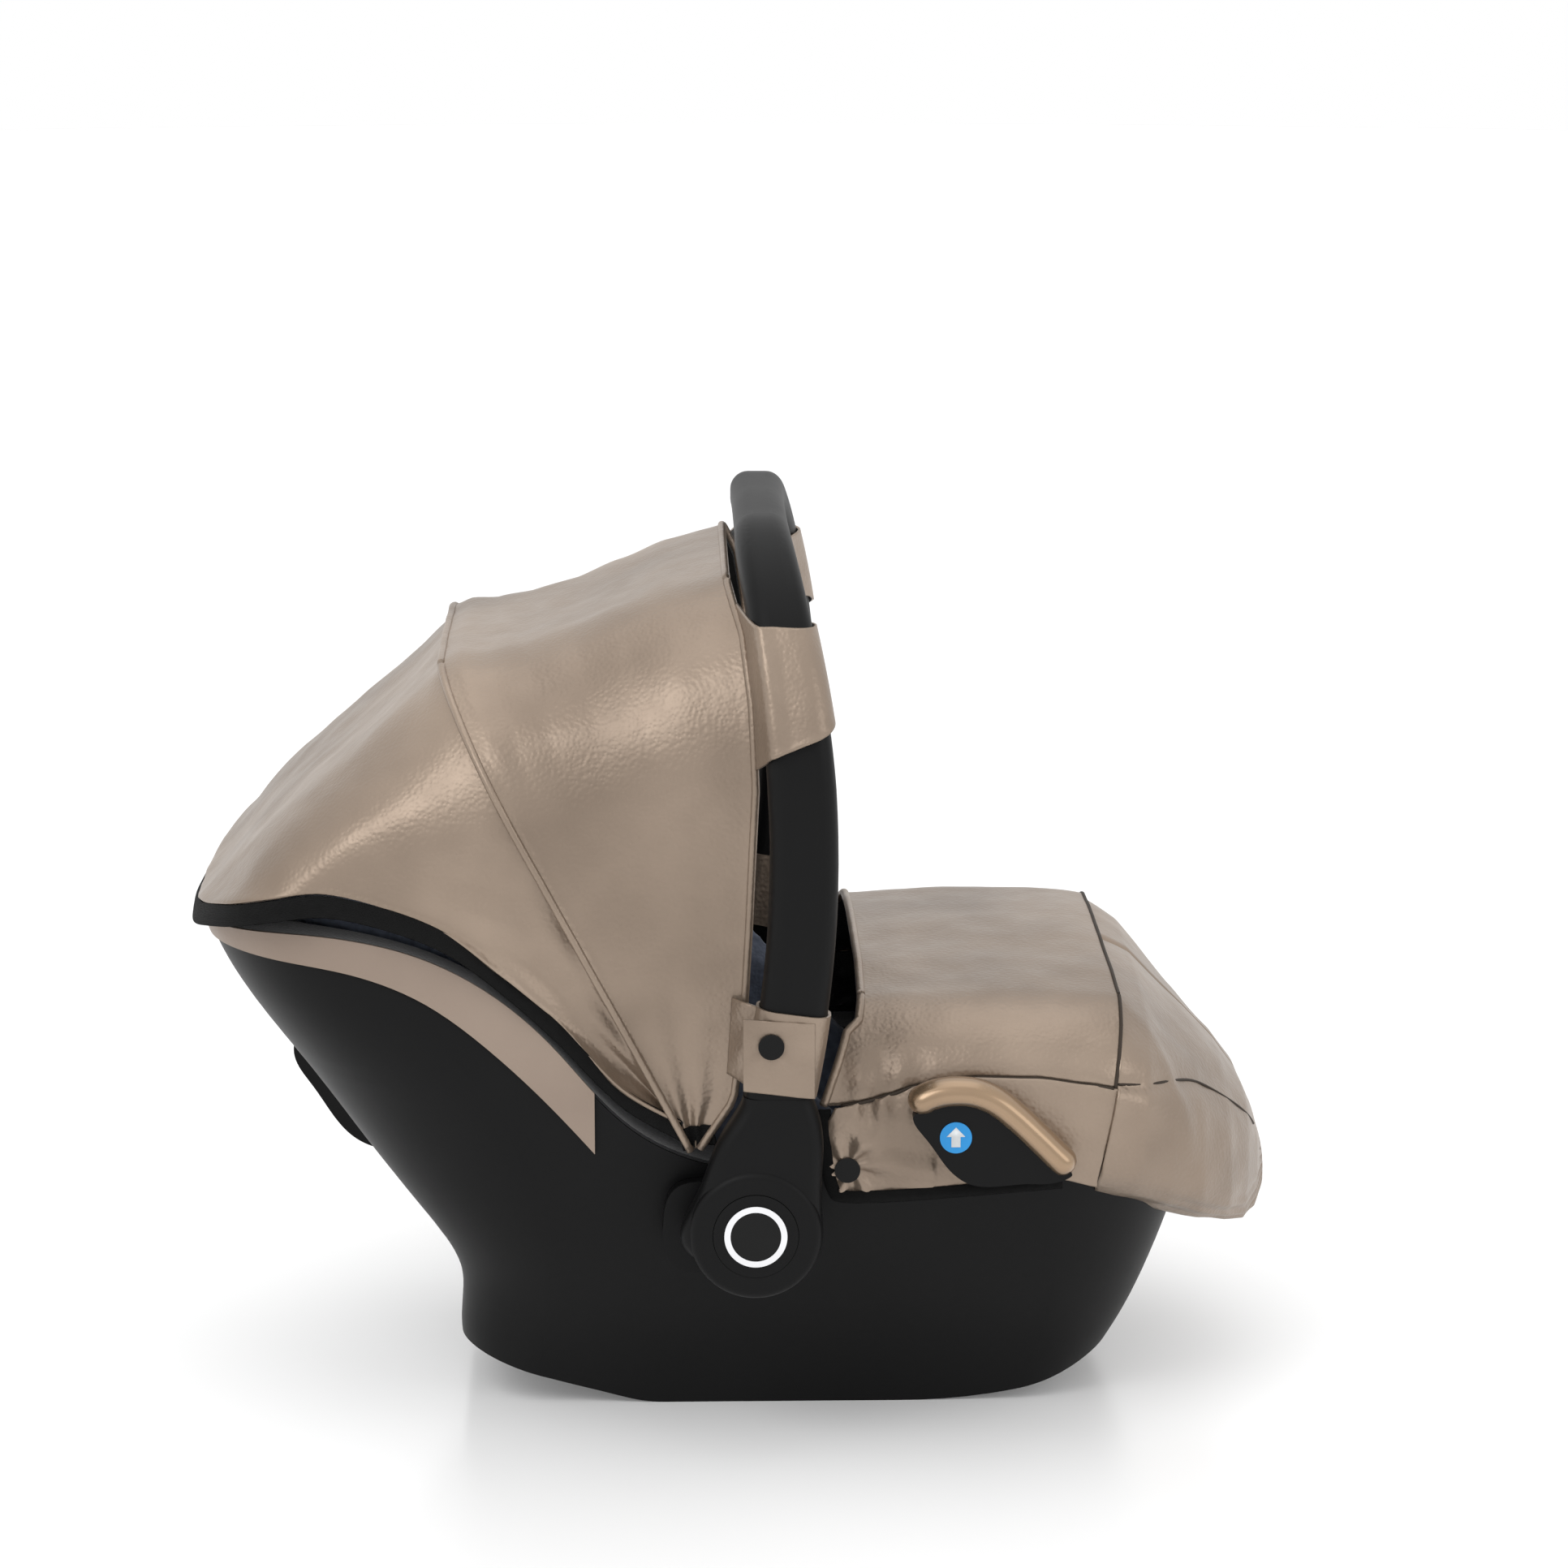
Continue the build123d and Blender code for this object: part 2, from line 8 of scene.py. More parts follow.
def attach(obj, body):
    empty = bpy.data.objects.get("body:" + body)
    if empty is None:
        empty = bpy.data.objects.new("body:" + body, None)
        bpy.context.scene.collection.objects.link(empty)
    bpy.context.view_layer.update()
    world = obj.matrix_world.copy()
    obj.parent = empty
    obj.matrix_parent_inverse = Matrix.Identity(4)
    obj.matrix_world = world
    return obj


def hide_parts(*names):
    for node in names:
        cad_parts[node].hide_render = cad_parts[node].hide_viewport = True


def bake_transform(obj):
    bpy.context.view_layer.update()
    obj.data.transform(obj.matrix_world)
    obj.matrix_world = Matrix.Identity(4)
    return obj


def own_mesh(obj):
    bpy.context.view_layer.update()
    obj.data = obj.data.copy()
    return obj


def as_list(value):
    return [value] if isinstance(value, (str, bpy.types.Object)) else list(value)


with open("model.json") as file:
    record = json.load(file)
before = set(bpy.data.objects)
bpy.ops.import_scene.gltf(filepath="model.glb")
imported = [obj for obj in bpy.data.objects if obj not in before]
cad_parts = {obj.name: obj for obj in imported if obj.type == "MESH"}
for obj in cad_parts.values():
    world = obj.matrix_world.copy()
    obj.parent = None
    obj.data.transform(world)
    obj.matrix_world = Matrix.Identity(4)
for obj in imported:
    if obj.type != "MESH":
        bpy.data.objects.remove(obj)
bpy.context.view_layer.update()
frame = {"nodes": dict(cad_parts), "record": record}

# Shapes are drawn in millimetres; +X is the foot end and -Y the near side.
NODES = frame["nodes"]
MM = 0.001
PAIR = (("right", -1), ("left", 1))


# ------------------------------------------------------------------ materials
COAT_ROUGHNESS = 0.12
DULL_SPECULAR = 0.16
CLOTH_SPECULAR = 0.2


def new_material(name, color, rough, metallic=0.0, coat=0.0, sheen=0.0):
    mat = bpy.data.materials.new(name)
    mat.use_nodes = True
    shader = mat.node_tree.nodes["Principled BSDF"]
    shader.inputs["Base Color"].default_value = (*color, 1)
    shader.inputs["Roughness"].default_value = rough
    shader.inputs["Metallic"].default_value = metallic
    shader.inputs["Coat Weight"].default_value = coat
    shader.inputs["Coat Roughness"].default_value = COAT_ROUGHNESS
    shader.inputs["Sheen Weight"].default_value = sheen
    return mat, shader


def add(mat, kind, **values):
    """New shader node; each value sets a socket of that name, or else a property."""
    node = mat.node_tree.nodes.new(kind)
    for key, value in values.items():
        if key in node.inputs:
            node.inputs[key].default_value = value
        else:
            setattr(node, key, value)
    return node


def wire(mat, source, target):
    mat.node_tree.links.new(source, target)


def vary_color(mat, shader, low, high, scale, detail=3.0):
    """Blotchy change between two colours."""
    coord = add(mat, "ShaderNodeTexCoord")
    cloud = add(mat, "ShaderNodeTexNoise", Scale=scale, Detail=detail)
    ramp = add(mat, "ShaderNodeValToRGB")
    ramp.color_ramp.elements[0].color = (*low, 1)
    ramp.color_ramp.elements[0].position = 0.32
    ramp.color_ramp.elements[1].color = (*high, 1)
    ramp.color_ramp.elements[1].position = 0.7
    wire(mat, coord.outputs["Object"], cloud.inputs["Vector"])
    wire(mat, cloud.outputs["Fac"], ramp.inputs["Fac"])
    wire(mat, ramp.outputs["Color"], shader.inputs["Base Color"])
    return coord


def bump_chain(mat, shader, heights):
    """Each height is (socket, strength, distance)."""
    last = None
    for socket, strength, distance in heights:
        bump = add(mat, "ShaderNodeBump", Strength=strength, Distance=distance)
        wire(mat, socket, bump.inputs["Height"])
        if last:
            wire(mat, last.outputs["Normal"], bump.inputs["Normal"])
        last = bump
    wire(mat, last.outputs["Normal"], shader.inputs["Normal"])


def leather(name, low, high, rough, metallic, grain=420.0, grain_depth=0.0005):
    """Coated cloth with a pebbled grain over soft folds."""
    mat, shader = new_material(name, high, rough, metallic, coat=0.06)
    coord = vary_color(mat, shader, low, high, 9.0)
    cells = add(mat, "ShaderNodeTexVoronoi", Scale=grain, feature="SMOOTH_F1")
    warp = add(mat, "ShaderNodeTexNoise", Scale=60.0, Detail=4.0)
    folds = add(mat, "ShaderNodeTexNoise", Scale=21.0, Detail=5.0, Distortion=0.5)
    wire(mat, coord.outputs["Object"], cells.inputs["Vector"])
    wire(mat, coord.outputs["Object"], warp.inputs["Vector"])
    wire(mat, coord.outputs["Object"], folds.inputs["Vector"])
    rub = add(mat, "ShaderNodeMapRange", **{"To Min": rough - 0.07, "To Max": rough + 0.1})
    wire(mat, warp.outputs["Fac"], rub.inputs["Value"])
    wire(mat, rub.outputs["Result"], shader.inputs["Roughness"])
    bump_chain(mat, shader, [
        (folds.outputs["Fac"], 0.4, 0.0006),
        (warp.outputs["Fac"], 0.12, 0.0004),
        (cells.outputs["Distance"], 0.55, grain_depth),
    ])
    return mat


def plastic(name, color, rough, coat=0.0, metallic=0.0):
    """Moulded or painted surface with a very fine grit."""
    mat, shader = new_material(name, color, rough, metallic, coat)
    low = tuple(0.82 * c for c in color)
    coord = vary_color(mat, shader, low, color, 14.0)
    shader.inputs["Specular IOR Level"].default_value = 0.5 if metallic or coat > 0.1 else DULL_SPECULAR
    grit = add(mat, "ShaderNodeTexNoise", Scale=1500.0, Detail=2.0)
    smear = add(mat, "ShaderNodeTexNoise", Scale=11.0, Detail=4.0)
    wire(mat, coord.outputs["Object"], grit.inputs["Vector"])
    wire(mat, coord.outputs["Object"], smear.inputs["Vector"])
    rub = add(mat, "ShaderNodeMapRange", **{"To Min": rough - 0.05, "To Max": rough + 0.06})
    wire(mat, smear.outputs["Fac"], rub.inputs["Value"])
    wire(mat, rub.outputs["Result"], shader.inputs["Roughness"])
    bump_chain(mat, shader, [(grit.outputs["Fac"], 0.3, 0.00006)])
    return mat


def woven(name, color, scale=700.0, rough=0.85, ribs=None, sheen=0.3):
    """Cloth; ribs draws that many ridges across the piece's own width."""
    mat, shader = new_material(name, color, rough, sheen=sheen)
    shader.inputs["Specular IOR Level"].default_value = CLOTH_SPECULAR
    low = tuple(0.6 * c for c in color)
    coord = vary_color(mat, shader, low, color, 160.0, 6.0)
    weave = add(mat, "ShaderNodeTexVoronoi", Scale=scale)
    wire(mat, coord.outputs["Object"], weave.inputs["Vector"])
    heights = [(weave.outputs["Distance"], 0.6, 0.0004)]
    if ribs:
        uv = add(mat, "ShaderNodeTexCoord")
        wave = add(mat, "ShaderNodeTexWave", Scale=ribs, bands_direction="Y", Distortion=0.25)
        wire(mat, uv.outputs["UV"], wave.inputs["Vector"])
        heights.append((wave.outputs["Fac"], 1.0, 0.0009))
    bump_chain(mat, shader, heights)
    return mat


def metal(name, color, rough):
    """Bare or plated metal with faint grit."""
    mat, shader = new_material(name, color, rough, 1.0)
    coord = vary_color(mat, shader, tuple(0.9 * c for c in color), color, 40.0)
    grit = add(mat, "ShaderNodeTexNoise", Scale=900.0)
    wire(mat, coord.outputs["Object"], grit.inputs["Vector"])
    bump_chain(mat, shader, [(grit.outputs["Fac"], 0.08, 0.00003)])
    return mat


HIDE = leather("leatherette", (0.225, 0.172, 0.13), (0.335, 0.26, 0.2), 0.38, 0.6)
HIDE_SMOOTH = leather("rim_cloth", (0.25, 0.19, 0.15), (0.31, 0.24, 0.19), 0.48, 0.25, 500.0, 0.00015)
BLACK = plastic("black_plastic", (0.0032, 0.0032, 0.0034), 0.46)
STAY = plastic("stay_plastic", (0.02, 0.02, 0.02), 0.5)
GLOSS = plastic("gloss_black", (0.004, 0.004, 0.004), 0.14, coat=0.05)
SNAP = plastic("snap_black", (0.004, 0.004, 0.004), 0.25)
BRONZE = plastic("bronze_trim", (0.36, 0.245, 0.15), 0.26, coat=0.5, metallic=0.75)
BLUE = plastic("blue_marker", (0.035, 0.27, 0.62), 0.35)
# Near-black brown for the cords laid along the seams: painted shade standing in for the shadow in the seam
# grooves.
SEAM_SHADE = plastic("seam_shadow", (0.045, 0.034, 0.026), 0.6)
WHITE = plastic("marker_white", (0.75, 0.78, 0.8), 0.4)
RED = plastic("red_button", (0.5, 0.02, 0.015), 0.35)
GREY = plastic("adjuster_grey", (0.1, 0.1, 0.11), 0.45)
CHROME = metal("chrome_trim", (0.8, 0.8, 0.82), 0.09)
STEEL = metal("steel", (0.5, 0.5, 0.52), 0.3)
LINING = woven("black_lining", (0.012, 0.012, 0.013))
CUSHION = woven("grey_cushion", (0.13, 0.15, 0.2), 420.0)
PAD = woven("pad_cloth", (0.11, 0.13, 0.17), 420.0)
ELASTIC = woven("black_elastic", (0.006, 0.006, 0.006), 1100.0, ribs=5.0, sheen=0.0)
WEBBING = woven("webbing", (0.018, 0.018, 0.02), 900.0, 0.7, ribs=9.0)

SLOT_MATERIAL = {
    "black_plastic": BLACK, "leatherette": HIDE, "rim_cloth": HIDE_SMOOTH, "black_lining": LINING,
    "grey_cushion": CUSHION, "black_elastic": ELASTIC, "webbing": WEBBING, "pad_cloth": PAD,
    "stay_plastic": STAY, "steel": STEEL, "chrome_trim": CHROME, "gloss_black": GLOSS,
    "bronze_trim": BRONZE, "blue_marker": BLUE, "snap_black": SNAP, "red_button": RED,
    "adjuster_grey": GREY,
}
for entry in frame["record"]["subparts"]:
    node = NODES[entry["node"]]
    node.data.materials.clear()
    node.data.materials.append(SLOT_MATERIAL[entry["material_slot"]])
    for face in node.data.polygons:
        face.use_smooth = True


# ------------------------------------------------------------------ geometry helpers
def lerp(a, b, t):
    return a + (b - a) * t


def along(points, t):
    """Smooth path through points, t from 0 to 1 by length."""
    pts = [Vector(p) for p in points]
    spans = [(b - a).length for a, b in zip(pts[:-1], pts[1:])]
    goal = max(0.0, min(1.0, t)) * sum(spans)
    i = 0
    while i < len(spans) - 1 and goal > spans[i]:
        goal -= spans[i]
        i += 1
    k = goal / spans[i] if spans[i] else 0.0
    p1, p2 = pts[i], pts[i + 1]
    p0 = pts[i - 1] if i else p1 * 2 - p2
    p3 = pts[i + 2] if i + 2 < len(pts) else p2 * 2 - p1
    return 0.5 * ((2 * p1) + (p2 - p0) * k + (2 * p0 - 5 * p1 + 4 * p2 - p3) * k * k
                  + (3 * p1 - p0 - 3 * p2 + p3) * k ** 3)


def at_height(points, z):
    """x of a roughly upright (x, z) line at height z."""
    rows = sorted(points, key=lambda p: p[1])
    if z <= rows[0][1]:
        return rows[0][0]
    for a, b in zip(rows[:-1], rows[1:]):
        if z <= b[1]:
            return lerp(a[0], b[0], (z - a[1]) / max(b[1] - a[1], 1e-6))
    return rows[-1][0]


def at_x(points, x):
    """z of a (x, z) line at x, slightly eased at its corners."""
    if x <= points[0][0]:
        return points[0][1]
    for a, b in zip(points[:-1], points[1:]):
        if x <= b[0]:
            k = (x - a[0]) / max(b[0] - a[0], 1e-6)
            return lerp(a[1], b[1], k * k * (3 - 2 * k) * 0.4 + k * 0.6)
    return points[-1][1]


def make_object(name, verts, faces, uvs=None, smooth=True):
    """New mesh object from millimetre corners."""
    mesh = bpy.data.meshes.new(name)
    mesh.from_pydata([tuple(MM * c for c in v) for v in verts], [], faces)
    if uvs:
        layer = mesh.uv_layers.new(name="UVMap")
        for loop in mesh.loops:
            layer.data[loop.index].uv = uvs[loop.vertex_index]
    for face in mesh.polygons:
        face.use_smooth = smooth
    obj = bpy.data.objects.new(name, mesh)
    bpy.context.collection.objects.link(obj)
    return obj


def bake(obj):
    """Applies every modifier."""
    depsgraph = bpy.context.evaluated_depsgraph_get()
    mesh = bpy.data.meshes.new_from_object(obj.evaluated_get(depsgraph))
    obj.modifiers.clear()
    obj.data = mesh
    for face in mesh.polygons:
        face.use_smooth = True


def skin(name, place, nu, nv, thick, mats, inward):
    """Cloth panel and its area; place(u, v) gives its outer face, inward a point (metres) behind it."""
    verts, faces, uvs = [], [], []
    for j in range(nv + 1):
        for i in range(nu + 1):
            verts.append(Vector(place(i / nu, j / nv)))
            uvs.append((i / nu, j / nv))
    for j in range(nv):
        for i in range(nu):
            a = j * (nu + 1) + i
            faces.append((a, a + 1, a + nu + 2, a + nu + 1))
    obj = make_object(name, verts, faces, uvs)
    middle = obj.data.polygons[(nv // 2) * nu + nu // 2]
    if middle.normal.dot(Vector(inward) - middle.center) > 0:
        obj.data.flip_normals()
    area = sum(p.area for p in obj.data.polygons)
    solid = obj.modifiers.new("thick", "SOLIDIFY")
    solid.thickness = thick * MM
    solid.offset = -1
    for mat in mats:
        obj.data.materials.append(mat)
    if len(mats) > 1:
        solid.material_offset = 1
    bake(obj)
    return obj, area


def tube_mesh(name, path, ry, rz, mat, sides=16, taper=0.0, flat_y=False):
    """Round bar along a path; with flat_y its section is ry across Y and rz in the side view."""
    verts, faces = [], []
    count = len(path)
    for i, p in enumerate(path):
        before, after = Vector(path[max(i - 1, 0)]), Vector(path[min(i + 1, count - 1)])
        tangent = (after - before).normalized()
        side = Vector((0, 1, 0)) if flat_y else tangent.orthogonal().normalized()
        up = tangent.cross(side).normalized()
        if not flat_y:
            side = up.cross(tangent).normalized()
            if abs(tangent.y) < 0.99:
                side = (Vector((0, 1, 0)) - tangent * tangent.y).normalized()
                up = tangent.cross(side)
        end = min(i, count - 1 - i) / max(count - 1, 1)
        grow = 1.0 if taper <= 0 or end > taper else math.sqrt(max(0.02, 1 - (1 - end / taper) ** 2))
        for k in range(sides):
            a = 2 * math.pi * k / sides
            verts.append(Vector(p) + side * (ry * grow * math.cos(a)) + up * (rz * grow * math.sin(a)))
    for i in range(count - 1):
        for k in range(sides):
            a, b = i * sides + k, i * sides + (k + 1) % sides
            faces.append((a, b, b + sides, a + sides))
    faces.append(tuple(range(sides))[::-1])
    faces.append(tuple((count - 1) * sides + k for k in range(sides)))
    obj = make_object(name, verts, faces)
    obj.data.materials.append(mat)
    return obj


def seam_tube(name, place, count, radius, mat):
    """Round cord along place(u), for a rolled hem or for a dark cord that paints the shade in a seam groove."""
    return tube_mesh(name, [place(i / (count - 1)) for i in range(count)], radius, radius, mat, 10)


def hill(x, middle, width):
    """Smooth bump of height 1 round middle."""
    return math.exp(-((x - middle) / width) ** 2)


def crumple(p, size, amount, seed=0.0):
    """Uneven height of the cloth at p, in waves of about size."""
    return amount * noise.noise(Vector((p[0] / size + seed, p[1] / size, p[2] / size)))


# ------------------------------------------------------------------ hood
FAN = (-20.0, 166.0)
FRONT_ANGLE, BOW_ANGLE, REAR_ANGLE = -5, 28.6, 28.2
REAR_RADIUS = 309
FRONT_EDGE = [(-21, 174), (0, 205), (6, 253), (9, 306), (11, 349), (13, 387), (11, 434), (6, 470), (-4, 497)]
TOP_RADII = [(-5, 329), (2, 321), (8, 313), (13.5, 307), (19, 306), (23, 309), (26, 315), (28, 313)]
HOOD_SIDE = [
    (-30, 180), (-58, 196), (-77, 213), (-105, 243), (-142, 276), (-169, 294), (-202, 306),
    (-234, 312), (-262, 309),
]
HOOD_HEAD = [(-286, -160, 303), (-303, -128, 296), (-314, -88, 288), (-319.5, -44, 282), (-321, 0, 280)]
REAR_INWARD = Vector((0.76, 0, -0.65))


def arch(radius, half, corner, base, u):
    """(reach, across) on a round-shouldered arch, u from one foot over the top to the other."""
    side = radius - corner - base
    turn = corner * math.pi / 2
    top = 2 * (half - corner)
    goal = (u if u <= 0.5 else 1 - u) * (2 * side + 2 * turn + top)
    if goal < side:
        reach, y = base + goal, -half
    elif goal < side + turn:
        a = (goal - side) / corner
        reach, y = radius - corner + corner * math.sin(a), -half + corner * (1 - math.cos(a))
    else:
        reach, y = radius, -half + corner + goal - side - turn
    return reach, (y if u <= 0.5 else -y)


def fan_point(angle, reach, y):
    """Point at that reach from the hood's hinge line, leaning back by angle."""
    a = math.radians(angle)
    return Vector((FAN[0] - reach * math.sin(a), y, FAN[1] + reach * math.cos(a)))


def canopy_front_point(u, v):
    """Front panel: u over the arch, v from the front edge back to the bow."""
    angle = lerp(FRONT_ANGLE, BOW_ANGLE, v)
    radius = at_x(TOP_RADII, angle)
    crown = 4.0 * math.sin(math.pi * u) ** 2
    reach, y = arch(radius - 3, 185 - 1.5 * math.sin(math.pi * v), 104 - 4 * v, 10, u)
    p = fan_point(angle, reach + crown * (reach / radius) ** 3, y)
    shift = at_height(FRONT_EDGE, p.z) - (FAN[0] + 0.0875 * reach)
    p.x += shift * (1 - v) ** 2
    near_foot = max(0.0, 1 - reach / 150)
    ripple = 1.6 * math.sin(5.5 * v * math.pi + 3 * reach / 100) * near_foot * math.sin(math.pi * v)
    sag = -2.5 * math.sin(math.pi * v) ** 2 * hill(reach, 250, 140)
    roll = 2.6 * hill(v, 0.985, 0.035) + 1.2 * hill(v, 0.0, 0.03)
    if reach < radius - 95:
        out = Vector((0, 1 if y > 0 else -1, 0))
    else:
        out = (p - fan_point(angle, radius - 100, 0)).normalized()
    return p + out * (ripple + sag + roll + crumple(p, 55, 1.3) + crumple(p, 24, 0.5, 9))


def head_share(x):
    """0 along the side, growing to about 1 at the head end."""
    return max(0.0, (-x - 250) / 70)


def hood_edge_point(u, lift):
    """Lower edge of the hood, from the near side round the head end to the far side."""
    w = u if u <= 0.5 else 1 - u
    near_side = [(x, -185 + max(0.0, (-140 - x)) * 0.075, z) for x, z in HOOD_SIDE]
    p = along(near_side + HOOD_HEAD, w * 2)
    p.z += lift
    p.x += lift * 0.35 * head_share(p.x)
    if u > 0.5:
        p.y = -p.y
    return p


def canopy_rear_point(u, v):
    """Rear panel: u over the arch, v from the bow down to the elastic."""
    reach, y = arch(REAR_RADIUS, 184, 98, 18, u)
    crown = 4.0 * math.sin(math.pi * u) ** 2
    top = fan_point(REAR_ANGLE, reach + crown * (reach / REAR_RADIUS) ** 3, y)
    low = hood_edge_point(u, 12.5)
    p = top.lerp(low, v)
    blend_top = min(1.0, max(0.0, (0.34 - abs(u - 0.5)) / 0.12))
    inward = Vector((0.2, 1 if u < 0.5 else -1, 0)).lerp(REAR_INWARD, blend_top).normalized()
    sag = 4 * math.sin(math.pi * v) - 9 * blend_top * math.sin(math.pi * v ** 1.4)
    foot = min(u, 1 - u)
    gather = hill(foot, 0.10, 0.13)
    folds = 3.4 * gather * math.sin(math.pi * v) ** 0.6 * math.sin(34 * foot + 5.0 * v + 1.5 * math.sin(6 * v))
    folds += 1.6 * gather * math.sin(61 * foot - 7 * v)
    hem = -2.2 * hill(v, 1.0, 0.05)
    return p + inward * (sag + hem) - inward * (folds + crumple(p, 48, 1.8, 3) + crumple(p, 20, 0.6, 5))


def elastic_point(u, v):
    """Elastic hem below the rear panel."""
    p = hood_edge_point(u, lerp(13.0, 0.0, v))
    out = Vector((0.15 * p.x / 320, p.y / 185, 0))
    out = out.normalized() if out.length > 0 else Vector((-1, 0, 0))
    bulge = 1.5 * math.sin(math.pi * v) + 1.2
    return p + out * bulge + Vector((-0.8 * head_share(p.x), 0, 0))


LINED = [HIDE, LINING]
canopy_front, area_front = skin("canopy_front_cloth", canopy_front_point, 150, 60, 2.0, LINED, (0, 0, 0.3))
canopy_rear, area_rear = skin("canopy_rear_cloth", canopy_rear_point, 170, 70, 2.0, LINED, (-0.15, 0, 0.3))
elastic, area_elastic = skin("canopy_elastic_band", elastic_point, 200, 8, 2.0, [ELASTIC], (-0.15, 0, 0.25))
front_hem = seam_tube("canopy_front_hem", lambda u: canopy_front_point(u, 0.0), 140, 2.4, HIDE)
bow_roll = seam_tube("canopy_bow_roll", lambda u: canopy_front_point(u, 0.985), 140, 2.3, HIDE)


def inner_binding_point(u, v):
    """Black edging just inside the hood's front edge."""
    p = canopy_front_point(u, 0.015)
    q = canopy_front_point(u, 0.06)
    back = (q - p).normalized()
    inside = (Vector((p.x, 0, 300)) - p).normalized()
    return p - back * lerp(1.2, -5.4, v) + inside * 3.4


binding_in, area_binding = skin("canopy_front_binding", inner_binding_point, 120, 4, 1.2, [ELASTIC], (0.5, 0, 0.3))


def foot_binding_point(u, v):
    """Black edge under the front panel's foot, from the bow to the front edge."""
    p = canopy_front_point(0.012, 1.0 - u)
    return p + Vector((0, -0.6 - math.sin(math.pi * v), 0)) + Vector((0.2, 0, -1)) * lerp(-3, 9, v)


def foot_binding_at(sign):
    def place(u, v):
        p = foot_binding_point(u, v)
        return Vector((p.x, p.y * -sign, p.z))
    return place


foot_bindings = []
for side, sign in PAIR:
    foot_bindings.append(
        skin(f"canopy_foot_binding_{side}", foot_binding_at(sign), 30, 5, 1.4, [ELASTIC], (-0.02, 0, 0.2)))


# ------------------------------------------------------------------ foot cover
MOUTH = [(76, 256), (73, 244), (66, 240), (56, 216), (51, 203), (50, 190), (51, 166), (56, 146)]
SEAM = [(46, 201), (60, 200), (80, 204), (105, 212), (138, 217), (175, 216), (205, 212), (230, 208), (250, 203)]
CROSS = [(225, 262), (227, 252), (226, 240), (224, 226), (221, 205), (216, 180), (210, 150)]
HEM = [(48, 146), (62, 145), (92, 145), (135, 148), (190, 153), (212, 148)]
COVER_HALF = 187.0
COVER_TOP = 248.0
COVER_SEAM = 205.0
COVER_STUD = (66, 164)


def barrel(u, low):
    """(across, height) over the foot cover, from the near seam height low to the far one."""
    half, top, corner = COVER_HALF, COVER_TOP, 60.0
    side, turn, flat = top - corner - low, corner * math.pi / 2, 2 * (half - corner)
    goal = (u if u <= 0.5 else 1 - u) * (2 * side + 2 * turn + flat)
    if goal < side:
        y, z = -half, low + goal
    elif goal < side + turn:
        a = (goal - side) / corner
        y, z = -half + corner * (1 - math.cos(a)), top - corner + corner * math.sin(a)
    else:
        y, z = -half + corner + goal - side - turn, top
    z += 9.0 * (1 - (y / half) ** 2)
    return (y if u <= 0.5 else -y), z


def puff(edge_mm, depth=3.2, width=9.0):
    """Dip of the padding close to a seam."""
    return -depth * math.exp(-max(edge_mm, 0.0) / width)


def boot_top_point(u, v):
    """Top panel: u over the legs, v from the mouth to the cross seam."""
    y, z = barrel(u, COVER_SEAM)
    x = lerp(at_height(MOUTH, z), at_height(CROSS, z), v)
    seam = at_x(SEAM, x)
    z += (seam - COVER_SEAM) * max(0.0, 1 - (z - COVER_SEAM) / 60)
    length = 150.0
    out = Vector((0, y / COVER_HALF, max(0.0, (z - 225) / 60))).normalized()
    foot = min(u, 1 - u) * 560
    edge = min((1 - v) * length, foot)
    wave = 1.6 * hill(x, 82, 26) * hill(foot, 12, 22) * math.sin(x / 3.6)
    dip = -2.2 * hill(v, 0.25, 0.16) * hill(u, 0.5, 0.3)
    uneven = crumple((x, y, z), 60, 2.0, 1) + crumple((x, y, z), 26, 0.6, 4)
    return Vector((x, y, z)) + out * (puff(edge) + wave + dip + uneven + 1.2)


TOE_SEAM = [(200, 214), (222, 212), (250, 207), (285, 192), (310, 176), (330, 164)]
# Toe sections: x, half width, bottom, top, squareness.
TOE_ROWS = [
    (214, 187.5, 122, 258, 3.1), (236, 181, 116, 246, 2.9), (256, 166, 108, 228, 2.75),
    (276, 147, 100, 210, 2.6), (295, 118, 92, 191, 2.45), (309, 86, 86, 173, 2.3),
    (318, 54, 91, 153, 2.2), (323, 24, 103, 136, 2.1), (324, 3, 119, 125, 2.0),
]


def toe_row(t):
    """Section at t, from 0 at the cross seam to 1 at the tip."""
    goal = t * (len(TOE_ROWS) - 1)
    i = min(int(goal), len(TOE_ROWS) - 2)
    k = goal - i
    return [lerp(a, b, k) for a, b in zip(TOE_ROWS[i], TOE_ROWS[i + 1])]


